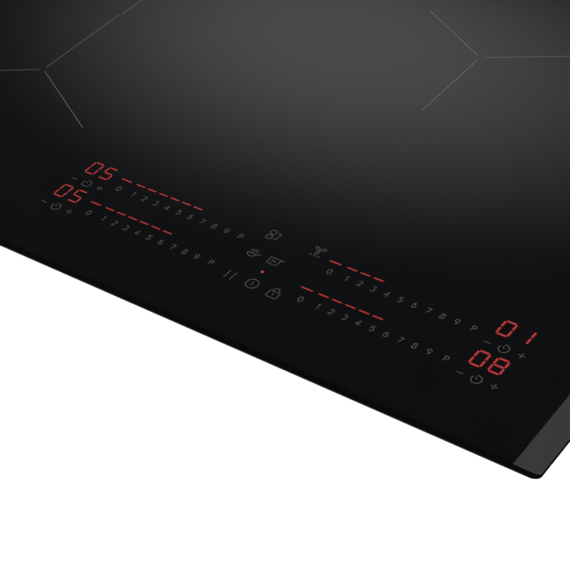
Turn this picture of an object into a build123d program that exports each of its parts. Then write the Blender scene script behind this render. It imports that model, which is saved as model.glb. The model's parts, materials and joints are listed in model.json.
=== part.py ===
"""Built-in induction hob, 780 x 520 mm glass, as separate pieces (millimetres, +Z up).

The origin is the centre of the casing's underside; +X is to the cook's right, +Y to the back.
"""
import math
import os

from build123d import *

# ---- driving dimensions -------------------------------------------------------------------
GLASS_WIDTH, GLASS_DEPTH, GLASS_THICKNESS, GLASS_CORNER = 780.0, 520.0, 4.0, 4.5
GLASS_UNDERSIDE = 46.0
BEVEL_WIDTH, BEVEL_DROP = 4.6, 1.0
TOP_ARRIS, UNDERCUT = 0.4, 2.4
TRIM_WIDTH, TRIM_SIDE_MARGIN, TRIM_END_MARGIN = 19.3, 0.7, 3.2
TRIM_RECESS, TRIM_PROUD, TRIM_CLEARANCE = 0.8, 0.2, 0.1

CASING_INSET, CASING_SHEET, CASING_BEND_Z, CASING_TOP_Z = 19.0, 1.0, 30.0, 43.8
RIB_WIDTH, RIB_DEPTH = 8.0, 0.6
# pressed ribs in the floor: (centre x, centre y, length, direction in degrees)
RIBS = [
    (-215.0, -176.0, 170.0, 0.0),
    (-15.0, -176.0, 150.0, 0.0),
    (190.0, -176.0, 200.0, 0.0),
    (-215.0, -118.0, 170.0, 0.0),
    (-250.0, 32.0, 190.0, 90.0),
    (-200.0, 32.0, 190.0, 90.0),
    (-225.0, 178.0, 150.0, 0.0),
    (125.0, -8.0, 190.0, 90.0),
    (175.0, -8.0, 190.0, 90.0),
    (120.0, 165.0, 110.0, 0.0),
    (285.0, -30.0, 210.0, 90.0),
    (310.0, -30.0, 210.0, 90.0),
]
FLANGE_WIDTH, FRAME_SHEET, BEAD_THICKNESS = 13.0, 1.2, 1.0
SKIRT_LOW_Z, LUG_LOW_Z, LUG_HIGH_Z, LUG_WIDTH = 31.0, 35.0, 38.0, 16.0
SEAL_THICKNESS, SEAL_WIDTH, SEAL_INSET = 2.0, 10.0, 3.0
WALL_SCREW_Z, WALL_SCREW_R = 37.5, 2.0

DECK_Z, DECK_SHEET = 29.0, 1.5
CARRIER_Z, CARRIER_FLOOR, CARRIER_TOP_Z = 37.0, 2.5, 45.1
GUIDE_PIN_R, GUIDE_PIN_TURN, SPRING_INSET = 2.5, 60.0, 9.0
SENSOR_BOOT_R, SENSOR_NECK_R, SENSOR_CAP_R, SENSOR_CAP_Z = 12.0, 8.0, 5.0, 42.5
MICA_THICKNESS = 0.8
WINDING_THICKNESS, WINDING_INNER = 4.0, 24.0
BOARD_Z, BOARD_SHEET = 5.0, 1.6
SCREW_R = 1.5

# zone name: (centre x, centre y, carrier radius)
ZONES = {
    "front_left": (-213.6, -58.9, 101.0),
    "rear_left": (-213.6, 137.0, 88.0),
    "rear_centre": (109.4, 136.9, 86.0),
    "right": (285.0, 52.0, 66.0),
}
FERRITE_BARS = {"front_left": 8, "rear_left": 8, "rear_centre": 8, "right": 6}
FERRITE_WIDTH, FERRITE_INNER, FERRITE_MARGIN, FERRITE_TURN = 11.0, 26.0, 17.0, 22.5

DECKS = {"left": (-325.0, -105.0, -172.0, 226.0), "right": (15.0, 352.0, -25.0, 226.0)}
POSTS = [(-318, -155), (-318, 200), (-112, -155), (-112, 200), (24, 60), (24, 200), (336, -15), (336, 200)]
POWER_BOARDS = {"left": (-225.0, 30.0), "right": (150.0, -10.0)}
BOARD_WIDTH, BOARD_DEPTH = 170.0, 230.0
SINK_LENGTH, SINK_WIDTH, SINK_HEIGHT, SINK_FINS, FIN_THICKNESS = 150.0, 44.0, 19.0, 11, 1.4
FANS = {"left": (-78.0, 35.0, -1), "right": (6.0, -15.0, 1)}
FAN_SIZE, FAN_TOP_Z, FAN_WALL, FAN_INTAKE_R = 80.0, 23.0, 1.6, 27.0
FAN_WHEEL_R, FAN_WHEEL_Z, FAN_BLADES = 32.0, 4.0, 25
FAN_PIN_R, FAN_PIN_CLEARANCE = 1.5, 0.05
FILTER_BOARD = (-30.0, 145.0, 110.0, 80.0)

PANEL = (-93.0, 339.0, -214.0, -130.0)
PANEL_Z, PANEL_WALL, PANEL_BOARD_Z, PANEL_BOARD_TOP, PANEL_PART_TOP = 37.5, 2.0, 39.5, 41.1, 45.8
RIBBON_X, RIBBON_WIDTH = 202.0, 18.0
SLIDER_ROWS = [(-38.4, -184.6), (-38.4, -149.4), (163.0, -184.6), (163.0, -149.4)]
SLIDER_LENGTH, SLIDER_STEP, SLIDER_STEPS = 122.0, 11.5, 11
DISPLAY_LENGTH, DISPLAY_DEPTH = 30.0, 17.0
DISPLAYS = [(-65.6, -183.6), (-65.6, -148.6), (310.5, -183.6), (310.5, -148.6)]
KEYS = [(101, -170.8), (122, -170.2), (103, -145.8), (143, -143.4), (103, -199), (123, -199), (143, -199)]

TERMINAL_X, TERMINAL_Y, TERMINAL_LENGTH, TERMINAL_DEPTH, TERMINAL_TOP_Z = 262.0, 162.0, 136.0, 62.0, 26.0
HATCH_X, HATCH_LENGTH, HATCH_DEPTH = 247.0, 94.0, 54.0
HATCH_HINGE_Z, HATCH_PIN_R, HATCH_BARREL_R = 2.3, 0.8, 1.8
TERMINAL_POLES, TERMINAL_PITCH, TERMINAL_SCREW_R = 5, 11.0, 2.6
EARTH_SCREW = (45.0, 175.0)
GLAND_X, GLAND_BORE_R, GLAND_LENGTH = 312.0, 5.5, 6.0

CLAMP_X, CLAMP_Y, CLAMP_WIDTH, CLAMP_REACH = 364.0, 165.0, 12.0, 30.0
CLAMP_Z, CLAMP_SHEET, CLAMP_TIP_Z, CLAMP_SCREW_R = 9.0, 2.5, 16.0, 2.5


# ---- helpers ------------------------------------------------------------------------------
def slab(x0, x1, y0, y1, z0, z1):
    """A square-cornered block between two corners."""
    centre = ((x0 + x1) / 2, (y0 + y1) / 2, (z0 + z1) / 2)
    return Pos(*centre) * Box(x1 - x0, y1 - y0, z1 - z0)


def rounded_slab(width, depth, corner, z0, z1, centre=(0.0, 0.0)):
    """A block with rounded upright corners."""
    outline = Pos(centre[0], centre[1], z0) * RectangleRounded(width, depth, corner)
    return extrude(outline, z1 - z0)


def rod(x, y, radius, z0, z1):
    """An upright round bar."""
    return Pos(x, y, (z0 + z1) / 2) * Cylinder(radius, z1 - z0)


def tube(x, y, outer, inner, z0, z1):
    """An upright round tube."""
    return rod(x, y, outer, z0, z1) - rod(x, y, inner, z0, z1)


def ring_slab(width, depth, corner, band, z0, z1):
    """A rectangular ring of the given band width."""
    inner = rounded_slab(width - 2 * band, depth - 2 * band, max(corner - band, 1.0), z0, z1)
    return rounded_slab(width, depth, corner, z0, z1) - inner


def group(solids):
    """Several separate solids in one node."""
    flat = []
    for item in solids:
        flat.extend(item.solids())
    return Compound(children=flat)


def around(count, start=0.0):
    """Evenly spaced angles in degrees."""
    return [start + 360.0 * step / count for step in range(count)]


def polar(x, y, radius, angle):
    """A point at an angle and a distance from a centre."""
    return x + radius * math.cos(math.radians(angle)), y + radius * math.sin(math.radians(angle))


# ---- glass, trims and seals ---------------------------------------------------------------
GLASS_TOP = GLASS_UNDERSIDE + GLASS_THICKNESS
CASING_WIDTH = GLASS_WIDTH - 2 * CASING_INSET
CASING_DEPTH = GLASS_DEPTH - 2 * CASING_INSET


def trim_blank(side, shrink, z0, z1):
    """One side strip, cut from a rounded outline inside the glass edge."""
    width = GLASS_WIDTH - 2 * (TRIM_SIDE_MARGIN + shrink)
    depth = GLASS_DEPTH - 2 * (TRIM_END_MARGIN + shrink)
    outline = rounded_slab(width, depth, GLASS_CORNER - TRIM_SIDE_MARGIN, z0, z1)
    inner_edge = GLASS_WIDTH / 2 - TRIM_SIDE_MARGIN - TRIM_WIDTH + shrink
    low, high = sorted((side * inner_edge, side * GLASS_WIDTH / 2))
    return outline & slab(low, high, -GLASS_DEPTH, GLASS_DEPTH, z0 - 1, z1 + 1)


def glass_ceramic_top():
    """The glass plate, with a long bevel at the front and a shallow recess for each strip."""
    plate = rounded_slab(GLASS_WIDTH, GLASS_DEPTH, GLASS_CORNER, GLASS_UNDERSIDE, GLASS_TOP)
    plate = chamfer(plate.edges().group_by(Axis.Z)[-1], TOP_ARRIS)
    plate = chamfer(plate.edges().group_by(Axis.Z)[0], UNDERCUT)
    front = -GLASS_DEPTH / 2
    wedge = Polyline(
        (front - 1, GLASS_TOP + 1),
        (front - 1, GLASS_TOP - BEVEL_DROP * (1 + 1 / BEVEL_WIDTH)),
        (front + BEVEL_WIDTH, GLASS_TOP),
        (front + BEVEL_WIDTH, GLASS_TOP + 1),
        close=True,
    )
    wedge_face = Plane.YZ * make_face(wedge)
    plate = plate - extrude(wedge_face, GLASS_WIDTH, both=True)
    for side in (-1, 1):
        plate = plate - trim_blank(side, 0.0, GLASS_TOP - TRIM_RECESS, GLASS_TOP + 1)
    return plate


def side_trim(side):
    """A satin steel strip bedded in the glass, standing a little proud."""
    strip = trim_blank(side, TRIM_CLEARANCE, GLASS_TOP - TRIM_RECESS, GLASS_TOP + TRIM_PROUD)
    return chamfer(strip.edges().group_by(Axis.Z)[-1], 0.15)


def worktop_seal():
    """The foam strip between the glass and the worktop."""
    width = GLASS_WIDTH - 2 * SEAL_INSET
    depth = GLASS_DEPTH - 2 * SEAL_INSET
    return ring_slab(width, depth, 5.0, SEAL_WIDTH, GLASS_UNDERSIDE - SEAL_THICKNESS, GLASS_UNDERSIDE)


def glass_bond_bead():
    """The silicone bead that holds the glass on its frame."""
    z0 = GLASS_UNDERSIDE - BEAD_THICKNESS
    return ring_slab(CASING_WIDTH - 2, CASING_DEPTH - 2, 6.0, FLANGE_WIDTH - 3, z0, GLASS_UNDERSIDE)


def clamp_places():
    """Screw axis of each worktop clamp: name, x, y and the way its arm points when stored."""
    return [
        ("front_left", -CLAMP_X, -CLAMP_Y, 1),
        ("front_right", CLAMP_X, -CLAMP_Y, 1),
        ("rear_left", -CLAMP_X, CLAMP_Y, -1),
        ("rear_right", CLAMP_X, CLAMP_Y, -1),
    ]


def wall_screw_places():
    """Wall screws: position on the casing's outside and the outward direction."""
    places = []
    for x in (-290.0, 0.0, 290.0):
        places.append((x, -CASING_DEPTH / 2, 0, -1))
        places.append((x, CASING_DEPTH / 2, 0, 1))
    for side in (-1, 1):
        places.append((side * CASING_WIDTH / 2, 0.0, side, 0))
    return places


def wall_bar(place, radius, inward, outward):
    """A level round bar along a wall screw's axis, from inside the wall to outside it."""
    x, y, out_x, out_y = place
    shift = (outward - inward) / 2
    angle = (0, 90, 0) if out_x else (90, 0, 0)
    where = Pos(x + out_x * shift, y + out_y * shift, WALL_SCREW_Z)
    return where * Rot(*angle) * Cylinder(radius, inward + outward)


def support_frame():
    """The folded steel frame under the glass: a flange, a skirt and four clamp lugs."""
    flange_z = GLASS_UNDERSIDE - BEAD_THICKNESS - FRAME_SHEET
    gap = CASING_SHEET + 0.1
    frame = ring_slab(CASING_WIDTH, CASING_DEPTH, 6.0, FLANGE_WIDTH, flange_z, flange_z + FRAME_SHEET)
    skirt_width, skirt_depth = CASING_WIDTH - 2 * gap, CASING_DEPTH - 2 * gap
    frame += ring_slab(skirt_width, skirt_depth, 8.0, FRAME_SHEET, SKIRT_LOW_Z, flange_z)
    skirt_x = CASING_WIDTH / 2 - gap - FRAME_SHEET / 2
    for _, x, y, _ in clamp_places():
        low, high = sorted((math.copysign(skirt_x, x), math.copysign(CLAMP_X - 8.0, x)))
        frame += slab(low, high, y - LUG_WIDTH / 2, y + LUG_WIDTH / 2, LUG_LOW_Z, LUG_HIGH_Z)
    for _, x, y, _ in clamp_places():
        frame -= rod(x, y, CLAMP_SCREW_R, 30.0, 50.0)
    for place in wall_screw_places():
        frame -= wall_bar(place, WALL_SCREW_R, 6.0, 2.0)
    return frame


# ---- casing -------------------------------------------------------------------------------
def casing_form(offset, z0):
    """The casing's outer or inner form: upright above the bend and sloping in below it."""
    width = CASING_WIDTH - 2 * offset
    depth = CASING_DEPTH - 2 * offset
    fall = 2 * (CASING_BEND_Z - z0) + 0.8 * offset
    upper = Pos(0, 0, CASING_BEND_Z) * RectangleRounded(width, depth, 8.0)
    lower = Pos(0, 0, z0) * RectangleRounded(width - fall, depth - fall, 6.0)
    slope = loft([lower, upper])
    return slope + rounded_slab(width, depth, 8.0, CASING_BEND_Z, CASING_TOP_Z + (1 if offset else 0))


def fan_grille(x, y):
    """Radial air slots under a fan."""
    slots = []
    for radius, length, count in ((13.0, 8.0, 12), (23.0, 9.0, 24)):
        for angle in around(count):
            slot = SlotOverall(length, 2.4)
            px, py = polar(x, y, radius, angle)
            slots.append(extrude(Pos(px, py, -1) * Rot(0, 0, angle) * slot, 3))
    return slots


def exhaust_slots():
    """Two rows of air slots through the front slope."""
    middle_y = -(CASING_DEPTH / 2 - 15.0)
    slots = []
    for start in (-250.0, 70.0):
        for step in range(18):
            slot = Pos(start + 10.0 * step, middle_y, 15.0) * Rot(-45, 0, 0) * Box(3.2, 8.0, 22.0)
            slots.append(slot)
    return slots


def casing_shell():
    """The whole sheet casing: a floor, and walls that slope out and then stand upright."""
    return casing_form(0.0, 0.0) - casing_form(CASING_SHEET, CASING_SHEET)


def floor_ribs(width, z0, height):
    """The pressed ribs of the floor, as bars of one level and height."""
    bars = []
    for x, y, length, angle in RIBS:
        section = Pos(x, y, z0) * Rot(0, 0, angle) * SlotOverall(length - RIB_WIDTH + width, width)
        bars.append(extrude(section, height))
    return bars


def floor_layer():
    """The layer that the floor fills, wider than the casing."""
    return slab(-CASING_WIDTH, CASING_WIDTH, -CASING_DEPTH, CASING_DEPTH, -1, CASING_SHEET)


def base_plate():
    """The steel floor with its pressed ribs, its fan grilles and its terminal hatch."""
    plate = casing_shell() & floor_layer()
    for rib in floor_ribs(RIB_WIDTH + 2 * RIB_DEPTH, CASING_SHEET - 0.1, RIB_DEPTH + 0.1):
        plate += rib
    cutters = floor_ribs(RIB_WIDTH, -1.0, 1.0 + RIB_DEPTH)
    for x, y, _ in FANS.values():
        cutters.extend(fan_grille(x, y))
    cutters.append(rounded_slab(HATCH_LENGTH + 2, HATCH_DEPTH + 2, 3.0, -1, 3, (HATCH_X, TERMINAL_Y)))
    cutters.append(rod(GLAND_X, TERMINAL_Y, GLAND_BORE_R + 2.0, -1, 3))
    return plate.cut(*cutters)


def wall_regions():
    """The plan areas of the four wall panels, which meet in mitred corners."""
    x, y = CASING_WIDTH / 2 + 5, CASING_DEPTH / 2 + 5
    ridge = x - y
    outlines = []
    for side in (-1, 1):
        outlines.append([(-x, side * y), (-ridge, 0), (ridge, 0), (x, side * y)])
        outlines.append([(side * x, -y), (side * ridge, 0), (side * x, y)])
    return [extrude(make_face(Polyline(*outline, close=True)), CASING_TOP_Z + 1) for outline in outlines]


def casing_walls():
    """The four folded wall panels, seam-welded to the floor and to each other."""
    walls = casing_shell() - floor_layer()
    cutters = exhaust_slots()
    for _, x, y, _ in clamp_places():
        cutters.append(rod(x, y, CLAMP_SCREW_R + 0.8, 12.0, 34.0))
    for place in wall_screw_places():
        cutters.append(wall_bar(place, WALL_SCREW_R + 0.2, 3.0, 3.0))
    walls = walls.cut(*cutters)
    return group([walls & region for region in wall_regions()])


def wall_screws():
    """Pan-head screws that hold the walls to the frame's skirt."""
    screws = []
    for place in wall_screw_places():
        head = wall_bar(place, 3.6, 0.0, 1.8)
        shank = wall_bar(place, WALL_SCREW_R, 5.0, 0.2)
        drive = wall_bar(place, 1.3, -0.9, 2.5)
        screws.append(head + shank - drive)
    return screws


# ---- coils --------------------------------------------------------------------------------
def spring_angles():
    """Where the three springs stand under a coil."""
    return around(3, 90.0)


def coil_carrier(zone):
    """The moulded former: a spoked floor, a rim, a hub and three guide pins."""
    x, y, radius = ZONES[zone]
    floor_top = CARRIER_Z + CARRIER_FLOOR
    body = rod(x, y, radius, CARRIER_Z, floor_top)
    body += tube(x, y, radius, radius - 2.4, floor_top, CARRIER_TOP_Z)
    body += tube(x, y, 21.0, 18.0, floor_top, CARRIER_TOP_Z - 1.0)
    body -= rod(x, y, SENSOR_BOOT_R + 0.2, CARRIER_Z - 1, floor_top + 1)
    for angle in around(FERRITE_BARS[zone], FERRITE_TURN):
        body -= ferrite_bar(zone, angle, 0.15)
    for angle in spring_angles():
        px, py = polar(x, y, radius - SPRING_INSET, angle + GUIDE_PIN_TURN)
        body += rod(px, py, GUIDE_PIN_R, DECK_Z - 1.0, CARRIER_Z)
    return body


def ferrite_bar(zone, angle, clearance):
    """One flat ferrite bar lying in the carrier's floor."""
    x, y, radius = ZONES[zone]
    length = radius - FERRITE_MARGIN - FERRITE_INNER + 2 * clearance
    px, py = polar(x, y, FERRITE_INNER - clearance + length / 2, angle)
    height = CARRIER_FLOOR + 2 * clearance
    bar = Box(length, FERRITE_WIDTH + 2 * clearance, height)
    return Pos(px, py, CARRIER_Z + CARRIER_FLOOR / 2) * Rot(0, 0, angle) * bar


def coil_ferrites(zone):
    """The ring of ferrite bars under one winding."""
    angles = around(FERRITE_BARS[zone], FERRITE_TURN)
    return group([ferrite_bar(zone, angle, 0.0) for angle in angles])


def coil_winding(zone):
    """The flat litz winding, as a disc with rounded edges."""
    x, y, radius = ZONES[zone]
    z0 = CARRIER_Z + CARRIER_FLOOR
    disc = tube(x, y, radius - 4.0, WINDING_INNER, z0, z0 + WINDING_THICKNESS)
    return fillet(disc.edges().filter_by(GeomType.CIRCLE), 1.2)


def temperature_sensor(zone):
    """The sensor capsule in its silicone boot at the coil's centre."""
    x, y, _ = ZONES[zone]
    floor_top = CARRIER_Z + CARRIER_FLOOR
    boot = rod(x, y, SENSOR_BOOT_R, CARRIER_Z, floor_top)
    boot += rod(x, y, SENSOR_NECK_R, floor_top, SENSOR_CAP_Z)
    cap = rod(x, y, SENSOR_CAP_R, SENSOR_CAP_Z, CARRIER_TOP_Z)
    return boot + fillet(cap.edges().group_by(Axis.Z)[-1], 1.0)


def coil_springs(zone):
    """Three small compression springs between the deck and the carrier."""
    x, y, radius = ZONES[zone]
    bottom = DECK_Z + DECK_SHEET
    wire, coil_r = 0.45, 4.0
    height = CARRIER_Z - bottom - 2 * wire
    path = Helix(pitch=height / 3.5, height=height, radius=coil_r)
    section = Plane(origin=path @ 0, z_dir=path % 0) * Circle(wire)
    spring = sweep(section, path=path)
    springs = []
    for angle in spring_angles():
        px, py = polar(x, y, radius - SPRING_INSET, angle)
        springs.append(Pos(px, py, bottom + wire) * spring)
    return group(springs)


def mica_sheets():
    """One insulating disc on the glass above each coil."""
    z0 = GLASS_UNDERSIDE - MICA_THICKNESS
    return group([rod(x, y, radius - 1.0, z0, GLASS_UNDERSIDE) for x, y, radius in ZONES.values()])


def coil_deck(side):
    """The aluminium sheet that carries the coils and shields the electronics."""
    x0, x1, y0, y1 = DECKS[side]
    centre = ((x0 + x1) / 2, (y0 + y1) / 2)
    deck = rounded_slab(x1 - x0, y1 - y0, 8.0, DECK_Z, DECK_Z + DECK_SHEET, centre)
    cutters = []
    for x, y, radius in ZONES.values():
        if not x0 < x < x1:
            continue
        cutters.append(rod(x, y, 17.0, DECK_Z - 1, DECK_Z + 3))
        for angle in spring_angles():
            px, py = polar(x, y, radius - SPRING_INSET, angle + GUIDE_PIN_TURN)
            cutters.append(rod(px, py, GUIDE_PIN_R + 0.6, DECK_Z - 1, DECK_Z + 3))
        for angle in around(6, 30.0):
            px, py = polar(x, y, radius * 0.5, angle)
            slot = Pos(px, py, DECK_Z - 1) * Rot(0, 0, angle + 90) * SlotOverall(22.0, 7.0)
            cutters.append(extrude(slot, 4))
    for x, y in POSTS:
        if x0 < x < x1:
            cutters.append(rod(x, y, SCREW_R + 0.2, DECK_Z - 1, DECK_Z + 3))
    return deck.cut(*cutters)


def deck_posts():
    """Hexagonal standoffs from the floor to the coil decks."""
    posts = []
    for x, y in POSTS:
        hexagon = Pos(x, y, CASING_SHEET) * RegularPolygon(4.2, 6)
        posts.append(extrude(hexagon, DECK_Z - CASING_SHEET) - rod(x, y, SCREW_R, 18.0, 40.0))
    return group(posts)


# ---- power electronics --------------------------------------------------------------------
BOARD_TOP = BOARD_Z + BOARD_SHEET


def board_holes(x, y, width, depth):
    """Screw places near a board's corners."""
    reach_x, reach_y = width / 2 - 5, depth / 2 - 5
    return [(x + sx * reach_x, y + sy * reach_y) for sx in (-1, 1) for sy in (-1, 1)]


def circuit_board(x, y, width, depth):
    """A circuit board with four screw holes."""
    board = rounded_slab(width, depth, 2.0, BOARD_Z, BOARD_TOP, (x, y))
    for px, py in board_holes(x, y, width, depth):
        board -= rod(px, py, SCREW_R + 0.1, 0, 20)
    return board


def circuit_boards():
    """The two inverter boards and the mains filter board."""
    boards = [circuit_board(x, y, BOARD_WIDTH, BOARD_DEPTH) for x, y in POWER_BOARDS.values()]
    return group(boards + [circuit_board(*FILTER_BOARD)])


def all_board_holes():
    """Every screw place of the three boards on the floor."""
    holes = []
    for x, y in POWER_BOARDS.values():
        holes.extend(board_holes(x, y, BOARD_WIDTH, BOARD_DEPTH))
    holes.extend(board_holes(*FILTER_BOARD))
    return holes


def board_standoffs():
    """Plastic standoffs between the floor and the boards."""
    return group([tube(x, y, 3.5, SCREW_R, CASING_SHEET, BOARD_Z) for x, y in all_board_holes()])


def small_screw(x, y, seat_z):
    """A pan-head screw of 3 mm, its head on the given level."""
    head = rod(x, y, SCREW_R + 1.4, seat_z, seat_z + 1.8) - rod(x, y, 1.0, seat_z + 0.9, seat_z + 2)
    return head + rod(x, y, SCREW_R, seat_z - 4.6, seat_z)


def chassis_screws():
    """The small screws of the casing's walls, the boards and the coil decks."""
    screws = wall_screws()
    screws += [small_screw(x, y, BOARD_TOP) for x, y in all_board_holes()]
    screws += [small_screw(x, y, DECK_Z + DECK_SHEET) for x, y in POSTS]
    return group(screws)


def sink_centre(side):
    """Each heat sink lies in line with its fan's outlet."""
    return POWER_BOARDS[side][0], FANS[side][1]


def heat_sink(side):
    """A finned extrusion lying along the air stream."""
    x, y = sink_centre(side)
    x0, x1 = x - SINK_LENGTH / 2, x + SINK_LENGTH / 2
    y0 = y - SINK_WIDTH / 2
    sink = slab(x0, x1, y0, y0 + SINK_WIDTH, BOARD_TOP, BOARD_TOP + 3.5)
    pitch = (SINK_WIDTH - FIN_THICKNESS) / (SINK_FINS - 1)
    for fin in range(SINK_FINS):
        fin_y = y0 + fin * pitch
        sink += slab(x0, x1, fin_y, fin_y + FIN_THICKNESS, BOARD_TOP + 3.4, BOARD_TOP + SINK_HEIGHT)
    return sink


def power_transistor(x, y):
    """A flat transistor standing on its three legs."""
    body_z = BOARD_TOP + 3.0
    part = slab(x - 8, x + 8, y - 2.3, y + 2.3, body_z, body_z + 15.4)
    for leg in (-5.0, 0.0, 5.0):
        part += slab(x + leg - 0.6, x + leg + 0.6, y - 0.4, y + 0.4, BOARD_TOP, body_z + 0.1)
    return part


def power_transistors():
    """Four transistors against each flank of the heat sinks."""
    parts = []
    for side in POWER_BOARDS:
        x, y = sink_centre(side)
        reach = SINK_WIDTH / 2 + 0.1 + 2.3
        for step in range(4):
            px = x - 54 + 36 * step
            parts.append(power_transistor(px, y - reach))
            parts.append(power_transistor(px, y + reach))
    return group(parts)


def capacitor_places():
    """Film capacitors on the power boards: centre, length along X, width along Y, height."""
    places = []
    for x, y in POWER_BOARDS.values():
        for step in (-1, 0, 1):
            places.append((x + 52 * step, y + 80, 42.0, 20.0, 17.0))
            places.append((x + 52 * step, y - 85, 42.0, 16.0, 15.0))
    return places


def resonance_capacitors():
    """Boxed film capacitors."""
    boxes = []
    for x, y, length, width, height in capacitor_places():
        reach_x, reach_y = length / 2, width / 2
        box = slab(x - reach_x, x + reach_x, y - reach_y, y + reach_y, BOARD_TOP, BOARD_TOP + height)
        boxes.append(chamfer(box.edges().group_by(Axis.Z)[-1], 1.0))
    return group(boxes)


def filter_chokes():
    """Two toroidal chokes lying on the filter board."""
    x, y = FILTER_BOARD[0], FILTER_BOARD[1]
    chokes = []
    for step in (-1, 1):
        torus = Pos(x + step * 26, y, BOARD_TOP + 8.2) * Torus(13.0, 6.5)
        spool = tube(x + step * 26, y, 13.0, 9.0, BOARD_TOP, BOARD_TOP + 6.0)
        chokes.append(torus + spool)
    return group(chokes)


# ---- fans ---------------------------------------------------------------------------------
def fan_housing(side):
    """A moulded blower casing, open at its intake below and at its outlet."""
    x, y, way = FANS[side]
    half = FAN_SIZE / 2
    floor, roof = CASING_SHEET + FAN_WALL, FAN_TOP_Z - FAN_WALL
    body = rounded_slab(FAN_SIZE, FAN_SIZE, 14.0, CASING_SHEET, FAN_TOP_Z, (x, y))
    body -= rod(x, y, half - FAN_WALL - 1.0, floor, roof)
    low, high = sorted((x, x + way * (half + 1)))
    body -= slab(low, high, y - 19, y + 19, floor, roof)
    return body - rod(x, y, FAN_INTAKE_R, 0, floor + 1)


def fan_motor(side):
    """The stator with its slots and its fixed pin, hung from the casing's roof."""
    x, y, _ = FANS[side]
    roof = FAN_TOP_Z - FAN_WALL
    core = rod(x, y, 12.0, 13.5, roof)
    for angle in around(6):
        px, py = polar(x, y, 12.0, angle)
        core -= Pos(px, py, 15.5) * Rot(0, 0, angle) * Box(7.0, 3.0, 6.0)
    return core + rod(x, y, FAN_PIN_R, 5.0, 13.5)


def fan_impeller(side):
    """The wheel: a hub cup, a back plate and forward-curved blades."""
    x, y, _ = FANS[side]
    top = FAN_TOP_Z - FAN_WALL - 1.2
    wheel = tube(x, y, 15.5, 14.0, 6.0, top)
    wheel += rod(x, y, 15.5, 6.0, 7.6)
    wheel += rod(x, y, 4.0, 6.0, 12.0)
    wheel += tube(x, y, FAN_WHEEL_R, 15.0, top - 1.4, top)
    wheel += tube(x, y, FAN_WHEEL_R, FAN_WHEEL_R - 2.0, FAN_WHEEL_Z, FAN_WHEEL_Z + 1.4)
    section = Pos(FAN_WHEEL_R - 4.2, 0, FAN_WHEEL_Z) * Rot(0, 0, 32) * RectangleRounded(8.4, 0.9, 0.4)
    blade = extrude(section, top - FAN_WHEEL_Z - 1.0)
    for angle in around(FAN_BLADES):
        wheel += Pos(x, y, 0) * Rot(0, 0, angle) * blade
    return wheel - rod(x, y, FAN_PIN_R + FAN_PIN_CLEARANCE, 0, 30)


# ---- control panel under the glass --------------------------------------------------------
def control_carrier():
    """The moulded tray that holds the control board against the glass."""
    x0, x1, y0, y1 = PANEL
    wall = PANEL_WALL
    tray = slab(x0, x1, y0, y1, PANEL_Z, GLASS_UNDERSIDE)
    tray -= slab(x0 + wall, x1 - wall, y0 + wall, y1 - wall, PANEL_BOARD_Z, GLASS_UNDERSIDE + 1)
    half = RIBBON_WIDTH / 2 + 3.0
    return tray - slab(RIBBON_X - half, RIBBON_X + half, y0 + 6, y0 + 12, PANEL_Z - 1, PANEL_BOARD_Z + 1)


def control_board():
    """The keypad's circuit board."""
    x0, x1, y0, y1 = PANEL
    edge = PANEL_WALL + 0.5
    return slab(x0 + edge, x1 - edge, y0 + edge, y1 - edge, PANEL_BOARD_Z, PANEL_BOARD_TOP)


def display_modules():
    """Four two-digit displays that face up through the glass."""
    reach_x, reach_y = DISPLAY_LENGTH / 2, DISPLAY_DEPTH / 2
    modules = []
    for x, y in DISPLAYS:
        block = slab(x - reach_x, x + reach_x, y - reach_y, y + reach_y, PANEL_BOARD_TOP, PANEL_PART_TOP)
        modules.append(chamfer(block.edges().group_by(Axis.Z)[-1], 0.5))
    return group(modules)


def slider_light_guides():
    """Four long light guides with one window for each power step."""
    guides = []
    for x, y in SLIDER_ROWS:
        bar = slab(x - 6, x + SLIDER_LENGTH, y - 4, y + 4, PANEL_BOARD_TOP, PANEL_PART_TOP)
        for step in range(SLIDER_STEPS):
            px = x + SLIDER_STEP * step
            bar -= slab(px + 5.0, px + 6.2, y - 3, y + 3, PANEL_BOARD_TOP + 2.5, PANEL_PART_TOP + 1)
        guides.append(bar)
    return group(guides)


def touch_springs():
    """The sensor springs under the keys, as small tubes."""
    return group([tube(x, y, 4.0, 2.6, PANEL_BOARD_TOP, PANEL_PART_TOP) for x, y in KEYS])


def ribbon_cable():
    """The flat cable from the control board down to the right power board."""
    y0 = PANEL[2] + 9.0
    low_z = BOARD_TOP + 2.4
    runs = Polyline((y0, PANEL_BOARD_Z - 0.5), (y0, low_z + 3), (y0 + 3, low_z), (-128.0, low_z))
    profile = Plane.YZ * make_face(offset(runs, 0.5, side=Side.BOTH))
    return Pos(RIBBON_X, 0, 0) * extrude(profile, RIBBON_WIDTH / 2, both=True)


# ---- mains connection ---------------------------------------------------------------------
def terminal_box():
    """The moulded terminal chamber over the floor's hatch, with ears for the lid's pin."""
    x0, x1 = TERMINAL_X - TERMINAL_LENGTH / 2, TERMINAL_X + TERMINAL_LENGTH / 2
    y0, y1 = TERMINAL_Y - TERMINAL_DEPTH / 2, TERMINAL_Y + TERMINAL_DEPTH / 2
    box = slab(x0, x1, y0, y1, CASING_SHEET, TERMINAL_TOP_Z)
    box -= slab(x0 + 2, x1 - 2, y0 + 2, y1 - 2, 0, TERMINAL_TOP_Z - 2)
    hinge_y = hatch_hinge_y()
    for side in (-1, 1):
        ear_x = HATCH_X + side * (HATCH_LENGTH / 2 - 2.5)
        box += slab(ear_x - 2, ear_x + 2, y0 + 1.5, hinge_y + 1.8, 1.0, 6.0)
    for side in (-1, 1):
        post_x = HATCH_X + side * 30.0
        box += rod(post_x, y1 - 6.0, 3.0, 6.0, TERMINAL_TOP_Z - 1)
    return box - hinge_bar(HATCH_PIN_R, HATCH_LENGTH + 2)


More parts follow.
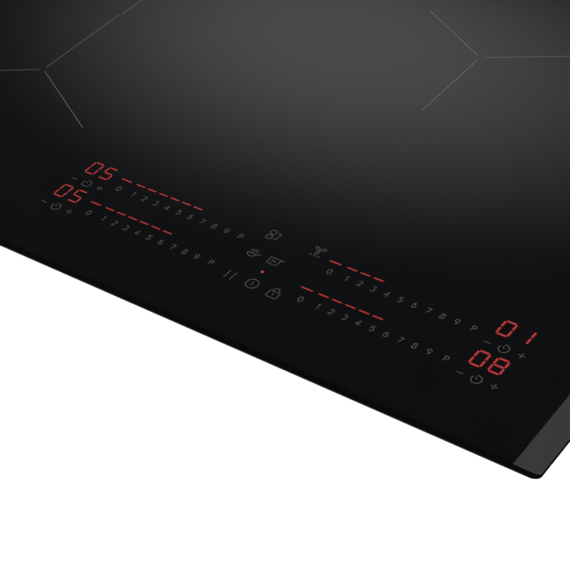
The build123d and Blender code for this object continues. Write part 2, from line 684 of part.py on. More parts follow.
def hatch_hinge_y():
    """The lid's hinge axis runs along the front of the hatch."""
    return TERMINAL_Y - HATCH_DEPTH / 2 + 2.4


def hinge_bar(radius, length):
    """A bar along the lid's hinge axis."""
    return Pos(HATCH_X, hatch_hinge_y(), HATCH_HINGE_Z) * Rot(0, 90, 0) * Cylinder(radius, length)


def terminal_hinge_pin():
    """The lid's pin, fixed in the ears."""
    return hinge_bar(HATCH_PIN_R, HATCH_LENGTH - 1.0)


def terminal_cover():
    """The hinged lid, just inside the casing's underside."""
    hinge_y = hatch_hinge_y()
    y1 = TERMINAL_Y + HATCH_DEPTH / 2 - 0.5
    half = HATCH_LENGTH / 2
    lid = slab(HATCH_X - half, HATCH_X + half, hinge_y + 4.2, y1, 0.3, 2.1)
    knuckle_half = half - 6.0
    lid += slab(HATCH_X - knuckle_half, HATCH_X + knuckle_half, hinge_y, hinge_y + 4.4, 0.5, 2.1)
    lid += hinge_bar(HATCH_BARREL_R, 2 * knuckle_half)
    lid += slab(HATCH_X - 8, HATCH_X + 8, y1 - 5, y1 - 3, 2.0, 5.0)
    lid -= slab(HATCH_X - 9, HATCH_X + 9, y1 - 2.0, y1 + 1, 0, 1.2)
    return lid - hinge_bar(HATCH_PIN_R + 0.05, HATCH_LENGTH + 2)


def pole_places():
    """Where each pole of the terminal block stands along X."""
    first = HATCH_X - TERMINAL_PITCH * (TERMINAL_POLES - 1) / 2
    return [first + TERMINAL_PITCH * pole for pole in range(TERMINAL_POLES)]


def terminal_block():
    """The five-pole block that the supply wires go into."""
    z1 = TERMINAL_TOP_Z - 2
    y0 = TERMINAL_Y + 6
    block = slab(HATCH_X - 28, HATCH_X + 28, y0, y0 + 14, z1 - 13, z1)
    for x in pole_places():
        block -= Pos(x, y0 + 4, z1 - 7) * Rot(90, 0, 0) * Cylinder(2.0, 12)
        block -= rod(x, y0 + 7, TERMINAL_SCREW_R, z1 - 14, z1 - 9.5)
    return block


def terminal_screws():
    """The wire screws of the terminal block, and the earth screw on the floor."""
    z1 = TERMINAL_TOP_Z - 2
    screws = [earth_screw()]
    for x in pole_places():
        slot = slab(x - 3, x + 3, TERMINAL_Y + 12.6, TERMINAL_Y + 13.4, z1 - 14, z1 - 12.2)
        screws.append(rod(x, TERMINAL_Y + 13, TERMINAL_SCREW_R, z1 - 13, z1 - 9.5) - slot)
    return group(screws)


def cable_gland():
    """The grommet that the supply cord enters by."""
    grommet = tube(GLAND_X, TERMINAL_Y, GLAND_BORE_R + 1.9, GLAND_BORE_R, 0.2, 0.2 + GLAND_LENGTH)
    return grommet + tube(GLAND_X, TERMINAL_Y, GLAND_BORE_R + 4.0, GLAND_BORE_R, 1.0, 2.6)


def cord_clamp():
    """The saddle that would grip the cord, with its two screws."""
    z1 = TERMINAL_TOP_Z - 2
    x, y = TERMINAL_X + 22, TERMINAL_Y - 8
    bar = slab(x - 4, x + 4, y - 14, y + 14, 9.0, 12.0)
    bar -= Pos(x, y, 13.5) * Rot(0, 90, 0) * Cylinder(5.0, 20)
    posts = [slab(x - 4, x + 4, y + side * 11 - 3, y + side * 11 + 3, 12.0, z1) for side in (-1, 1)]
    screws = [rod(x, y + side * 11, 2.4, 7.4, 9.0) for side in (-1, 1)]
    return group([bar] + posts + screws)


def earth_screw():
    """The hexagon-headed earth screw beside the filter board, with its washer."""
    x, y = EARTH_SCREW
    washer_top = CASING_SHEET + 1.2
    hexagon = extrude(Pos(x, y, washer_top) * RegularPolygon(4.0, 6), 3.0)
    return hexagon + rod(x, y, 5.0, CASING_SHEET, washer_top)


# ---- worktop clamps -----------------------------------------------------------------------
def worktop_clamp(x, y, way):
    """A steel finger on an upright screw, stored along the casing's side."""
    half = CLAMP_WIDTH / 2
    z1 = CLAMP_Z + CLAMP_SHEET
    y0, y1 = sorted((y - way * 7.0, y + way * CLAMP_REACH))
    arm = slab(x - half, x + half, y0, y1, CLAMP_Z, z1)
    tip0, tip1 = sorted((y + way * (CLAMP_REACH - CLAMP_SHEET), y + way * CLAMP_REACH))
    arm += slab(x - half, x + half, tip0, tip1, CLAMP_Z, CLAMP_TIP_Z)
    arm = fillet(arm.edges().filter_by(Axis.Z), 1.0)
    return arm - rod(x, y, CLAMP_SCREW_R + 0.05, 0, 30)


def clamp_screws():
    """The upright screws that draw the clamps up under the worktop."""
    screws = []
    for _, x, y, _ in clamp_places():
        head = rod(x, y, 5.0, CLAMP_Z - 3.2, CLAMP_Z - 0.1)
        head -= extrude(Pos(x, y, 0) * RegularPolygon(2.2, 6), CLAMP_Z - 1.4)
        screws.append(head + rod(x, y, CLAMP_SCREW_R, CLAMP_Z - 0.2, 41.0))
    return group(screws)


# ---- every node ---------------------------------------------------------------------------
def build_nodes():
    """All pieces by name."""
    nodes = {
        "glass_ceramic_top": glass_ceramic_top(),
        "side_trim_left": side_trim(-1),
        "side_trim_right": side_trim(1),
        "worktop_seal": worktop_seal(),
        "glass_bond_bead": glass_bond_bead(),
        "support_frame": support_frame(),
        "base_plate": base_plate(),
        "casing_walls": casing_walls(),
        "mica_sheets": mica_sheets(),
        "deck_posts": deck_posts(),
        "board_standoffs": board_standoffs(),
        "circuit_boards": circuit_boards(),
        "chassis_screws": chassis_screws(),
        "power_transistors": power_transistors(),
        "resonance_capacitors": resonance_capacitors(),
        "filter_chokes": filter_chokes(),
        "control_carrier": control_carrier(),
        "control_board": control_board(),
        "display_modules": display_modules(),
        "slider_light_guides": slider_light_guides(),
        "touch_springs": touch_springs(),
        "ribbon_cable": ribbon_cable(),
        "terminal_box": terminal_box(),
        "terminal_cover": terminal_cover(),
        "terminal_hinge_pin": terminal_hinge_pin(),
        "terminal_block": terminal_block(),
        "terminal_screws": terminal_screws(),
        "cable_gland": cable_gland(),
        "cord_clamp": cord_clamp(),
        "clamp_screws": clamp_screws(),
    }
    for zone in ZONES:
        nodes[f"coil_winding_{zone}"] = coil_winding(zone)
        nodes[f"coil_carrier_{zone}"] = coil_carrier(zone)
        nodes[f"coil_ferrites_{zone}"] = coil_ferrites(zone)
        nodes[f"coil_springs_{zone}"] = coil_springs(zone)
        nodes[f"temperature_sensor_{zone}"] = temperature_sensor(zone)
    for side in FANS:
        nodes[f"fan_impeller_{side}"] = fan_impeller(side)
    nodes["fan_housings"] = group([fan_housing(side) for side in FANS])
    nodes["fan_motors"] = group([fan_motor(side) for side in FANS])
    nodes["heat_sinks"] = group([heat_sink(side) for side in POWER_BOARDS])
    nodes["coil_decks"] = group([coil_deck(side) for side in DECKS])
    for name, x, y, way in clamp_places():
        nodes[f"worktop_clamp_{name}"] = worktop_clamp(x, y, way)
    return nodes


if __name__ == "__main__":
    os.makedirs("parts", exist_ok=True)
    for node, shape in build_nodes().items():
        export_step(shape, f"parts/{node}.step")
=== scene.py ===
"""Looks of the built-in induction hob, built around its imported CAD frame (metres, +Z up)."""
import json
import math

import bmesh
import bpy
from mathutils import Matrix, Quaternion, Vector


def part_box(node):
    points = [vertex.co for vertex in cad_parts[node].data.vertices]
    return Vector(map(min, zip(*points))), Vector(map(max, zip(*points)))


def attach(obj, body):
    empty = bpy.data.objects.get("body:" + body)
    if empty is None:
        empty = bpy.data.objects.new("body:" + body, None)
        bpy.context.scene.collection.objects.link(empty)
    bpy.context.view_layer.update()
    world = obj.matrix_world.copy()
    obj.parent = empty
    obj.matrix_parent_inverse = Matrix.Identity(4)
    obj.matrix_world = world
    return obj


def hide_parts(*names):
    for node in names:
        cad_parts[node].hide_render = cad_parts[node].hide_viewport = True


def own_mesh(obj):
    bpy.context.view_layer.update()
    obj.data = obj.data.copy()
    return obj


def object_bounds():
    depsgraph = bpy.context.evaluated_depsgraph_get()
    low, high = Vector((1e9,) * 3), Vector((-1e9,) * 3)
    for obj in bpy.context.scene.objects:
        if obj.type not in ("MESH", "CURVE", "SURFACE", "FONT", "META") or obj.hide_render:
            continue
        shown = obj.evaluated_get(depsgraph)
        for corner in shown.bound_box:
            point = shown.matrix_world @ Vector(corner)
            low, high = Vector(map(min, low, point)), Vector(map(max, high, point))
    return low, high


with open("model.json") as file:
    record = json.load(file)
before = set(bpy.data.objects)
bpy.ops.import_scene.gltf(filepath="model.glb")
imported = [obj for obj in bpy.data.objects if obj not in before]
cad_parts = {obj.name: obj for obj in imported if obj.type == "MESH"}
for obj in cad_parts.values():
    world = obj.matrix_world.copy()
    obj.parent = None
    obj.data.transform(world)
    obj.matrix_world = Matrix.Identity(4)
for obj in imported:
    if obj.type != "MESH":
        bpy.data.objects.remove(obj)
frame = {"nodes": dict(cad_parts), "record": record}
cad_low, cad_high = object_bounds()

MM = 0.001
GLASS_LOW, GLASS_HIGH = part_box("glass_ceramic_top")
TOP = GLASS_HIGH.z
# the prints and the camera are placed from a corner this far outside the glass's own
RIM_X, RIM_Y = 0.3 * MM, 1.5 * MM
RIGHT, FRONT = GLASS_HIGH.x + RIM_X, GLASS_LOW.y - RIM_Y
FLOOR = cad_low.z

# ---- panel layout, in metres from that front right corner ---------------------------------
PRINT_HEIGHT = 0.04 * MM
ZONE_LINE = 0.75 * MM
ICON_LINE = 0.6 * MM
NUMERAL_HEIGHT, NUMERAL_LINE = 5.2 * MM, 0.6 * MM
# numerals along a slider, in millimetres: 0, then 1 to 9 evenly, then P
NUMERAL_STEPS = [0.0, 15.0] + [15.0 + 11.5 * step for step in range(1, 9)] + [120.5]
LEFT_SLIDER, RIGHT_SLIDER = -428.8 * MM, -227.1 * MM
FRONT_NUMERALS, REAR_NUMERALS = 65.1 * MM, 100.5 * MM
FIRST_DASH, DASH, DASH_WIDTH = 9.4 * MM, 7.8 * MM, 0.65 * MM
FRONT_TIMER_Y, REAR_TIMER_Y = 76.6 * MM, 111.5 * MM
DIGIT_WIDTH, DIGIT_HEIGHT, DIGIT_PITCH = 8.6 * MM, 14.0 * MM, 14.7 * MM
LEFT_DIGIT_BAR, RIGHT_DIGIT_BAR = 0.76 * MM, 1.0 * MM
DIGIT_GAP = 0.65 * MM
CLOCK_DROP = 18.4 * MM
REAR_CLOCKS = (-456.0 * MM, -78.7 * MM)
FRONT_CLOCKS = (-456.8 * MM, -78.9 * MM)
MINUS_STEP, PLUS_STEP = 12.9 * MM, 13.5 * MM
DASH_PITCH, SECOND_DASH = 11.5 * MM, 14.6 * MM
# glows: widths as multiples of the lit line's, and a dash's growth at each end
DASH_GLOW, DIGIT_GLOW, DASH_GLOW_GROWTH = 2.4, 2.2, 0.5 * MM
POWER_LIGHT, POWER_LIGHT_LINE = (-269.1 * MM, 75.6 * MM), 1.15 * MM
POWER_LIGHT_RADIUS = 0.6  # in millimetres, like the icons

# timer name: (digits, centre x, centre y, segment width)
TIMERS = {
    "timer_rear_left": ("05", -456.7 * MM, REAR_TIMER_Y, LEFT_DIGIT_BAR),
    "timer_front_left": ("05", -458.4 * MM, FRONT_TIMER_Y, LEFT_DIGIT_BAR),
    "timer_rear_right": ("01", -80.0 * MM, REAR_TIMER_Y, RIGHT_DIGIT_BAR),
    "timer_front_right": ("08", -80.2 * MM, FRONT_TIMER_Y, RIGHT_DIGIT_BAR),
}
# slider light name: (first dash x, row y, lit steps)
SLIDER_LIGHTS = {
    "steps_rear_left": (LEFT_SLIDER - 1.4 * MM, REAR_NUMERALS + 11.3 * MM, 7),
    "steps_front_left": (LEFT_SLIDER - 2.9 * MM, FRONT_NUMERALS + 11.6 * MM, 7),
    "steps_rear_right": (RIGHT_SLIDER - 2.0 * MM, REAR_NUMERALS + 10.4 * MM, 4),
    "steps_front_right": (RIGHT_SLIDER - 2.7 * MM, FRONT_NUMERALS + 11.3 * MM, 6),
}
# key name: centre
KEY_PLACES = {
    "key_bridge": (-287.3 * MM, 114.3 * MM),
    "key_pan": (-288.0 * MM, 89.7 * MM),
    "key_pot": (-268.9 * MM, 89.6 * MM),
    "key_pause": (-287.3 * MM, 61.0 * MM),
    "key_power": (-267.4 * MM, 61.3 * MM),
    "key_lock": (-247.3 * MM, 60.2 * MM),
    "key_fan": (-247.4 * MM, 116.0 * MM),
}

# zone name: (mark radius, direction of its first arm in degrees)
ZONE_MARKS = {
    "front_left": (105.0 * MM, -29.0),
    "rear_left": (90.0 * MM, 30.0),
    "rear_centre": (90.0 * MM, -90.0),
    "right": (72.5 * MM, -90.0),
}
MARK_GAP = 4 * MM

# ---- windings and glass faces -------------------------------------------------------------
WIRE_CLEARANCE, WINDING_INNER = 0.1 * MM, 24.0 * MM
TURN_PITCH = 2.05  # between turns, in wire radii
TURN_STEPS = 40
# glass faces: upward normals below which one is an edge or a bevel, and how far back a bevel lies
EDGE_RISE, BEVEL_RISE, BEVEL_REACH = 0.9, 0.999, 10 * MM

# ---- studio and camera, in metres and degrees ---------------------------------------------
FLOOR_SIZE, FLOOR_GAP = 60, 0.5 * MM
REFLECTOR_HEIGHT = 1.2
REFLECTOR_PLACE = (-1.137, 1.649)
REFLECTOR_REACH = (1.08, 0.70)
REFLECTOR_LIGHT = 0.756
REFLECTOR_FADE = (0.5, 0.035)  # distances at which its light is nil and full
AREA_SIZE = (0.9, 0.9)
KEY_LIGHT_PLACE, KEY_LIGHT_POWER = (1.3, -0.5, 1.5), 14
FILL_LIGHT_PLACE, FILL_LIGHT_POWER = (-1.5, -0.9, 1.3), 9
HORIZON = (0.02, 0.07)
ROOM_COLOUR = (0.055, 0.062, 0.068)
CAMERA_OFFSET = Vector((0.3323, -0.6034, 0.7351))
CAMERA_AZIMUTH, CAMERA_ELEVATION, CAMERA_ROLL = 40.57, 39.58, -6.53
CAMERA_LENS, CAMERA_SENSOR, CAMERA_NEAR = 102.07, 36.0, 0.01


# ---- materials ----------------------------------------------------------------------------
def new_material(name):
    """An empty node material and its tools."""
    material = bpy.data.materials.new(name)
    material.use_nodes = True
    return material, material.node_tree.nodes, material.node_tree.links


def object_noise(nodes, links, scale, detail=3.0, stretch=(1, 1, 1)):
    """Noise over the object's own coordinates, stretched as asked."""
    where = nodes.new("ShaderNodeTexCoord")
    mapping = nodes.new("ShaderNodeMapping")
    mapping.inputs["Scale"].default_value = stretch
    noise = nodes.new("ShaderNodeTexNoise")
    noise.inputs["Scale"].default_value = scale
    noise.inputs["Detail"].default_value = detail
    links.new(where.outputs["Object"], mapping.inputs["Vector"])
    links.new(mapping.outputs["Vector"], noise.inputs["Vector"])
    return noise


def finish(name, dark, light, metallic=0.0, rough=(0.4, 0.5), scale=300.0, bump=0.1, depth=0.05 * MM,
           stretch=(1, 1, 1), coat=0.0, cells=None, ior=1.5):
    """A material that varies in colour, gloss and relief over its own noise."""
    material, nodes, links = new_material(name)
    shader = nodes["Principled BSDF"]
    shader.inputs["Metallic"].default_value = metallic
    shader.inputs["IOR"].default_value = ior
    shader.inputs["Coat Weight"].default_value = coat
    shader.inputs["Coat Roughness"].default_value = 0.15
    noise = object_noise(nodes, links, scale, stretch=stretch)
    relief = noise.outputs["Fac"]
    tone = relief
    if cells:
        voronoi = nodes.new("ShaderNodeTexVoronoi")
        voronoi.inputs["Scale"].default_value = cells
        where = nodes.new("ShaderNodeTexCoord")
        links.new(where.outputs["Object"], voronoi.inputs["Vector"])
        split = nodes.new("ShaderNodeSeparateColor")
        links.new(voronoi.outputs["Color"], split.inputs["Color"])
        tone = split.outputs["Red"]
    ramp = nodes.new("ShaderNodeValToRGB")
    ramp.color_ramp.elements[0].position, ramp.color_ramp.elements[1].position = 0.3, 0.7
    ramp.color_ramp.elements[0].color = (*dark, 1)
    ramp.color_ramp.elements[1].color = (*light, 1)
    links.new(tone, ramp.inputs["Fac"])
    links.new(ramp.outputs["Color"], shader.inputs["Base Color"])
    gloss = nodes.new("ShaderNodeMapRange")
    gloss.inputs["To Min"].default_value, gloss.inputs["To Max"].default_value = rough
    links.new(tone, gloss.inputs["Value"])
    links.new(gloss.outputs["Result"], shader.inputs["Roughness"])
    bumper = nodes.new("ShaderNodeBump")
    bumper.inputs["Strength"].default_value = bump
    bumper.inputs["Distance"].default_value = depth
    links.new(relief, bumper.inputs["Height"])
    links.new(bumper.outputs["Normal"], shader.inputs["Normal"])
    return material


def lit_material(name, colour, strength):
    """A lit segment: even red light with a slightly paler heart."""
    material, nodes, links = new_material(name)
    shader = nodes["Principled BSDF"]
    shader.inputs["Base Color"].default_value = (0.25, 0.01, 0.01, 1)
    shader.inputs["Roughness"].default_value = 0.2
    noise = object_noise(nodes, links, 900.0, 1.0)
    ramp = nodes.new("ShaderNodeValToRGB")
    ramp.color_ramp.elements[0].position, ramp.color_ramp.elements[1].position = 0.35, 0.75
    ramp.color_ramp.elements[0].color = (*colour, 1)
    ramp.color_ramp.elements[1].color = (min(colour[0] * 1.1, 1), colour[1] * 1.8, colour[2] * 1.8, 1)
    links.new(noise.outputs["Fac"], ramp.inputs["Fac"])
    links.new(ramp.outputs["Color"], shader.inputs["Emission Color"])
    shader.inputs["Emission Strength"].default_value = strength
    return material


def grey(value, warm=0.0):
    """A neutral colour, a little warm or cold."""
    return (value * (1 + warm), value, value * (1 - warm))


MATERIALS = {
    "black_glass": finish("black_glass", grey(0.0035, -0.06), grey(0.0045, -0.06), rough=(0.055, 0.075),
                          scale=35, bump=0.02, depth=0.02 * MM, ior=1.5),
    "satin_steel": finish("satin_steel", grey(0.205, -0.02), grey(0.245, -0.02), metallic=0.85,
                          rough=(0.34, 0.46), scale=900, bump=0.12, depth=0.02 * MM,
                          stretch=(1, 0.02, 1)),
    "print_grey": finish("print_grey", grey(0.15), grey(0.18), rough=(0.5, 0.6), scale=900, bump=0.05),
    "print_light": finish("print_light", grey(0.20), grey(0.25), rough=(0.07, 0.1), scale=900, bump=0.05),
    # edge and bevel copies of the glass: rougher like ground glass, and painted darker with weaker
    # reflection as painted shade
    "glass_edge_painted_shade": finish("glass_edge_painted_shade", grey(0.002), grey(0.003), rough=(0.5, 0.65), scale=600, bump=0.1,
                         ior=1.12),
    "glass_bevel_painted_shade": finish("glass_bevel_painted_shade", grey(0.0030), grey(0.0042), rough=(0.12, 0.2), scale=90,
                          bump=0.03, ior=1.3),
    "seal_foam": finish("seal_foam", grey(0.018), grey(0.04), rough=(0.85, 0.95), scale=1600, bump=0.6,
                        depth=0.3 * MM),
    "silicone_black": finish("silicone_black", grey(0.012), grey(0.02), rough=(0.4, 0.5), scale=120,
                             bump=0.2, depth=0.2 * MM),
    "zinc_steel": finish("zinc_steel", grey(0.27, -0.03), grey(0.34, -0.02), metallic=0.9,
                         rough=(0.34, 0.46), scale=160, bump=0.08, depth=0.05 * MM, cells=190),
    "screw_steel": finish("screw_steel", grey(0.30), grey(0.38), metallic=1.0, rough=(0.25, 0.35),
                          scale=700, bump=0.1),
    "mica": finish("mica", (0.42, 0.31, 0.18), (0.66, 0.52, 0.33), rough=(0.45, 0.7), scale=90, bump=0.25,
                   cells=260),
    "nylon_natural": finish("nylon_natural", (0.66, 0.63, 0.56), (0.74, 0.72, 0.66), rough=(0.42, 0.52),
                            scale=500, bump=0.1),
    "board_green": finish("board_green", (0.012, 0.09, 0.035), (0.02, 0.14, 0.06), rough=(0.25, 0.35),
                          scale=60, bump=0.15, coat=0.3),
    "epoxy_black": finish("epoxy_black", grey(0.012), grey(0.022), rough=(0.45, 0.6), scale=900,
                          bump=0.25),
    "capacitor_blue": finish("capacitor_blue", (0.03, 0.09, 0.30), (0.05, 0.13, 0.40), rough=(0.3, 0.4),
                             scale=300, bump=0.1),
    "choke_winding": finish("choke_winding", (0.26, 0.08, 0.02), (0.55, 0.2, 0.06), metallic=0.6,
                            rough=(0.25, 0.4), scale=80, bump=0.8, depth=0.4 * MM, stretch=(1, 1, 8)),
    "plastic_black": finish("plastic_black", grey(0.016), grey(0.026), rough=(0.45, 0.6), scale=1300,
                            bump=0.3),
    "plastic_grey": finish("plastic_grey", grey(0.20), grey(0.25), rough=(0.45, 0.58), scale=1200,
                           bump=0.25),
    "display_red": finish("display_red", (0.16, 0.012, 0.01), (0.26, 0.02, 0.015), rough=(0.2, 0.3),
                          scale=400, bump=0.05),
    "spring_steel": finish("spring_steel", grey(0.40), grey(0.55), metallic=1.0, rough=(0.25, 0.38),
                           scale=700, bump=0.1),
    "ribbon_grey": finish("ribbon_grey", grey(0.36), grey(0.52), rough=(0.4, 0.5), scale=800, bump=0.5,
                          depth=0.2 * MM, stretch=(1, 0.01, 0.01)),
    "brass_bright": finish("brass_bright", (0.55, 0.38, 0.14), (0.72, 0.52, 0.22), metallic=1.0,
                           rough=(0.25, 0.4), scale=500, bump=0.1),
    "rubber_black": finish("rubber_black", grey(0.012), grey(0.022), rough=(0.7, 0.85), scale=1100,
                           bump=0.35),
    "lamination_steel": finish("lamination_steel", grey(0.22), grey(0.34), metallic=0.9,
                               rough=(0.35, 0.5), scale=500, bump=0.6, depth=0.3 * MM,
                               stretch=(0.02, 0.02, 4)),
    "aluminium_mill": finish("aluminium_mill", grey(0.60), grey(0.74), metallic=1.0, rough=(0.28, 0.42),
                             scale=500, bump=0.12, stretch=(0.03, 1, 1)),
    "litz_copper": finish("litz_copper", (0.34, 0.10, 0.035), (0.68, 0.27, 0.11), metallic=0.9,
                          rough=(0.28, 0.42), scale=900, bump=0.8, depth=0.3 * MM),
    "carrier_plastic": finish("carrier_plastic", grey(0.035), grey(0.055), rough=(0.5, 0.62), scale=700,
                              bump=0.3),
    "ferrite": finish("ferrite", grey(0.03), grey(0.05), metallic=0.3, rough=(0.45, 0.6), scale=900,
                      bump=0.35),
    "silicone_red": finish("silicone_red", (0.24, 0.02, 0.012), (0.34, 0.035, 0.02), rough=(0.5, 0.62),
                           scale=300, bump=0.1),
}
MATERIALS["lit_red"] = lit_material("lit_red", (1.0, 0.095, 0.11), 0.39)
MATERIALS["lit_glow"] = lit_material("lit_glow", (0.4, 0.012, 0.016), 0.09)


def dress_frame():
    """Gives every CAD node the material of its slot."""
    for entry in frame["record"]["subparts"]:
        mesh = frame["nodes"][entry["node"]].data
        mesh.materials.clear()
        mesh.materials.append(MATERIALS[entry["material_slot"]])
    dress_glass_edges(frame["nodes"]["glass_ceramic_top"].data)


def dress_glass_edges(mesh):
    """The ground edges are rougher than the polished top, and they are also painted darker and less
    reflective as painted shade; the front bevel is in between.
    """
    mesh.materials.append(MATERIALS["glass_edge_painted_shade"])
    mesh.materials.append(MATERIALS["glass_bevel_painted_shade"])
    # faces are picked by which way they face: the sides and the front bevel get the painted shade
    for face in mesh.polygons:
        upward = face.normal.z
        if upward < EDGE_RISE:
            face.material_index = 1
        elif upward < BEVEL_RISE and face.center.y < FRONT + BEVEL_REACH:
            face.material_index = 2


# ---- flat marks on the glass --------------------------------------------------------------
def spot(x, y):
    """A place on the glass, measured from the layout's front right corner."""
    return Vector((RIGHT + x, FRONT + y))


def arc(cx, cy, rx, ry, start, end, steps=14):
    """Points along an elliptical arc, in degrees."""
    points = []
    for step in range(steps + 1):
        angle = math.radians(start + (end - start) * step / steps)
        points.append((cx + rx * math.cos(angle), cy + ry * math.sin(angle)))
    return points


def add_stroke(mesh, points, width, base):
    """Adds one printed line as a thin closed strip with mitred corners."""
    path = [Vector(point) for point in points]
    closed = (path[0] - path[-1]).length < 1e-7
    if closed:
        path = path[:-1]
    count = len(path)
    rows = []
    for index, point in enumerate(path):
        before = path[index - 1] if closed or index else point
        after = path[(index + 1) % count] if closed or index < count - 1 else point
        ahead = (after - point).normalized() if after != point else (point - before).normalized()
        behind = (point - before).normalized() if before != point else ahead
        way = (ahead + behind).normalized() if (ahead + behind).length > 1e-6 else ahead
        normal = Vector((-way.y, way.x))
        reach = width / 2 / max(abs(way.dot(ahead)), 0.5)
        rows.append([point + normal * reach, point - normal * reach])
    top = base + PRINT_HEIGHT
    loops = []
    for left, right in rows:
        corners = [(left, top), (right, top), (right, base), (left, base)]
        loops.append([mesh.verts.new((p.x, p.y, z)) for p, z in corners])
    spans = count if closed else count - 1
    for index in range(spans):
        one, two = loops[index], loops[(index + 1) % count]
        for side in range(4):
            other = (side + 1) % 4
            mesh.faces.new((one[side], two[side], two[other], one[other]))
    if not closed:
        mesh.faces.new(loops[0])
        mesh.faces.new(list(reversed(loops[-1])))


def flat_piece(name, material, draw, base=None):
    """Makes one mesh piece from strokes and fixes it to the hob."""
    mesh = bmesh.new()
    draw(mesh, TOP if base is None else base)
    bmesh.ops.recalc_face_normals(mesh, faces=mesh.faces)
    data = bpy.data.meshes.new(name)
    mesh.to_mesh(data)
    mesh.free()
    data.materials.append(MATERIALS[material])
    piece = bpy.data.objects.new(name, data)
    bpy.context.collection.objects.link(piece)
    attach(piece, "root")


def placed(lines, centre, scale=1.0):
    """Moves a drawing's lines to their place."""
    return [[(centre.x + scale * x, centre.y + scale * y) for x, y in line] for line in lines]


GLYPHS = {
    "0": [arc(0, 0, 0.30, 0.5, 0, 360, 24)],
    "1": [[(-0.16, 0.28), (0.08, 0.5), (0.08, -0.5)]],
    "2": [arc(0, 0.22, 0.27, 0.28, 165, -35, 12) + [(-0.28, -0.47), (0.31, -0.47)]],
    "3": [arc(-0.02, 0.25, 0.26, 0.25, 150, -80, 10), arc(-0.02, -0.24, 0.30, 0.26, 85, -150, 12)],
    "4": [[(0.14, -0.5), (0.14, 0.5), (-0.30, -0.22), (0.33, -0.22)]],
    "5": [[(0.26, 0.47), (-0.18, 0.47), (-0.22, 0.04)] + arc(0, -0.18, 0.29, 0.32, 120, -140, 12)],
    "6": [arc(0, -0.2, 0.29, 0.30, 0, 360, 20), arc(0.2, -0.2, 0.49, 0.70, 180, 100, 8)],
    "7": [[(-0.29, 0.47), (0.29, 0.47), (-0.08, -0.5)]],
    "8": [arc(0, 0.26, 0.23, 0.24, 0, 360, 18), arc(0, -0.24, 0.29, 0.26, 0, 360, 20)],
    "9": [arc(0, 0.2, 0.29, 0.30, 0, 360, 20), arc(-0.2, 0.2, 0.49, 0.70, 0, -80, 8)],
    "P": [[(-0.24, -0.5), (-0.24, 0.47), (0.02, 0.47)]
          + arc(0.04, 0.21, 0.25, 0.26, 90, -90, 8) + [(-0.24, -0.05)]],
}


def draw_numerals(mesh, base):
    """The power steps under each of the four sliders."""
    for x in (LEFT_SLIDER, RIGHT_SLIDER):
        for y in (FRONT_NUMERALS, REAR_NUMERALS):
            for glyph, step in zip("0123456789P", NUMERAL_STEPS):
                for line in placed(GLYPHS[glyph], spot(x + step * MM, y), NUMERAL_HEIGHT):
                    add_stroke(mesh, line, NUMERAL_LINE, base)


def draw_timer_keys(mesh, base):
    """Minus, clock and plus under each timer display."""
    ring = arc(0, 0, 3.8, 3.8, 112, -208, 28)
    hand = [(-1.6, 1.8), (0.0, 0.1)]
    minus = [[(-2.5, 0), (2.5, 0)]]
    plus = [[(-2.7, 0), (2.7, 0)], [(0, -2.7), (0, 2.7)]]
    for timer_y, clocks in ((FRONT_TIMER_Y, FRONT_CLOCKS), (REAR_TIMER_Y, REAR_CLOCKS)):
        y = timer_y - CLOCK_DROP
        for clock_x in clocks:
            for line in placed([ring, hand], spot(clock_x, y), MM):
                add_stroke(mesh, line, ICON_LINE, base)
            for line in placed(minus, spot(clock_x - MINUS_STEP, y), MM):
                add_stroke(mesh, line, ICON_LINE, base)
            for line in placed(plus, spot(clock_x + PLUS_STEP, y), MM):
                add_stroke(mesh, line, ICON_LINE, base)


def box_outline(x0, x1, y0, y1, cut=0.9):
    """A closed box with cut corners."""
    points = [(x0 + cut, y0), (x1 - cut, y0), (x1, y0 + cut), (x1, y1 - cut)]
    points += [(x1 - cut, y1), (x0 + cut, y1), (x0, y1 - cut), (x0, y0 + cut), (x0 + cut, y0)]
    return points


